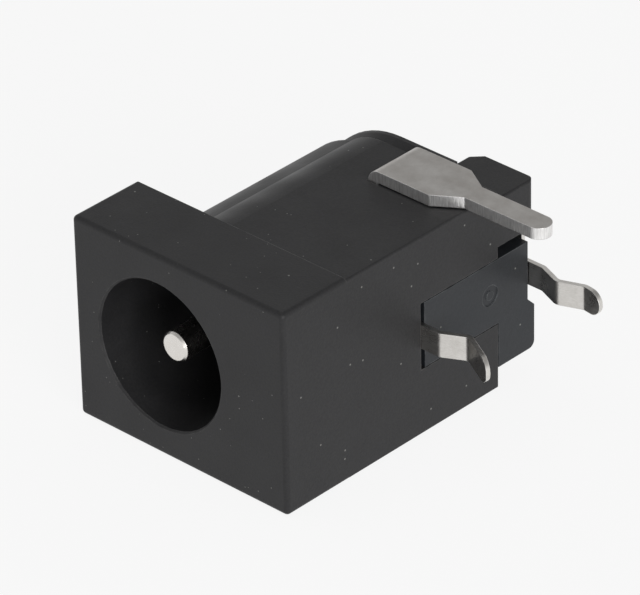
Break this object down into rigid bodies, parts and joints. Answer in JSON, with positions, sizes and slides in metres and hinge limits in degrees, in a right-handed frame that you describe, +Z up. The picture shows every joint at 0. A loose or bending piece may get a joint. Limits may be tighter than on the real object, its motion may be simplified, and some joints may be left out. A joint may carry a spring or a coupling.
{
  "type": "dc barrel jack",
  "caption": "Right-angle board-mount dc power jack with a switched sleeve contact, solder tails and a centre pin, lying on its side.",
  "frame": {"origin": "centre of the plug socket in the front face, on the socket's axis", "axes": "+X towards the board the jack is soldered to, +Y from the front face to the rear, +Z up, towards the switch terminal's side, as the jack lies on its other side"},
  "size_m": [0.0148, 0.0143, 0.0096],
  "materials": {
    "housing_plastic": "fine moulded texture, dull black",
    "base_plastic": "moulded, dull blue-black, a little smoother",
    "pin_metal": "turned, nickel plated",
    "strip_metal": "tin plated, satin",
    "plate_metal": "tin plated, satin, bright sheared edges"
  },
  "bodies": {
    "root": {"housing": "housing_plastic", "terminal_base": "base_plastic", "centre_pin": "pin_metal", "centre_strap": "strip_metal", "sleeve_contact": "strip_metal", "switch_contact": "plate_metal"}
  },
  "joints": []
}
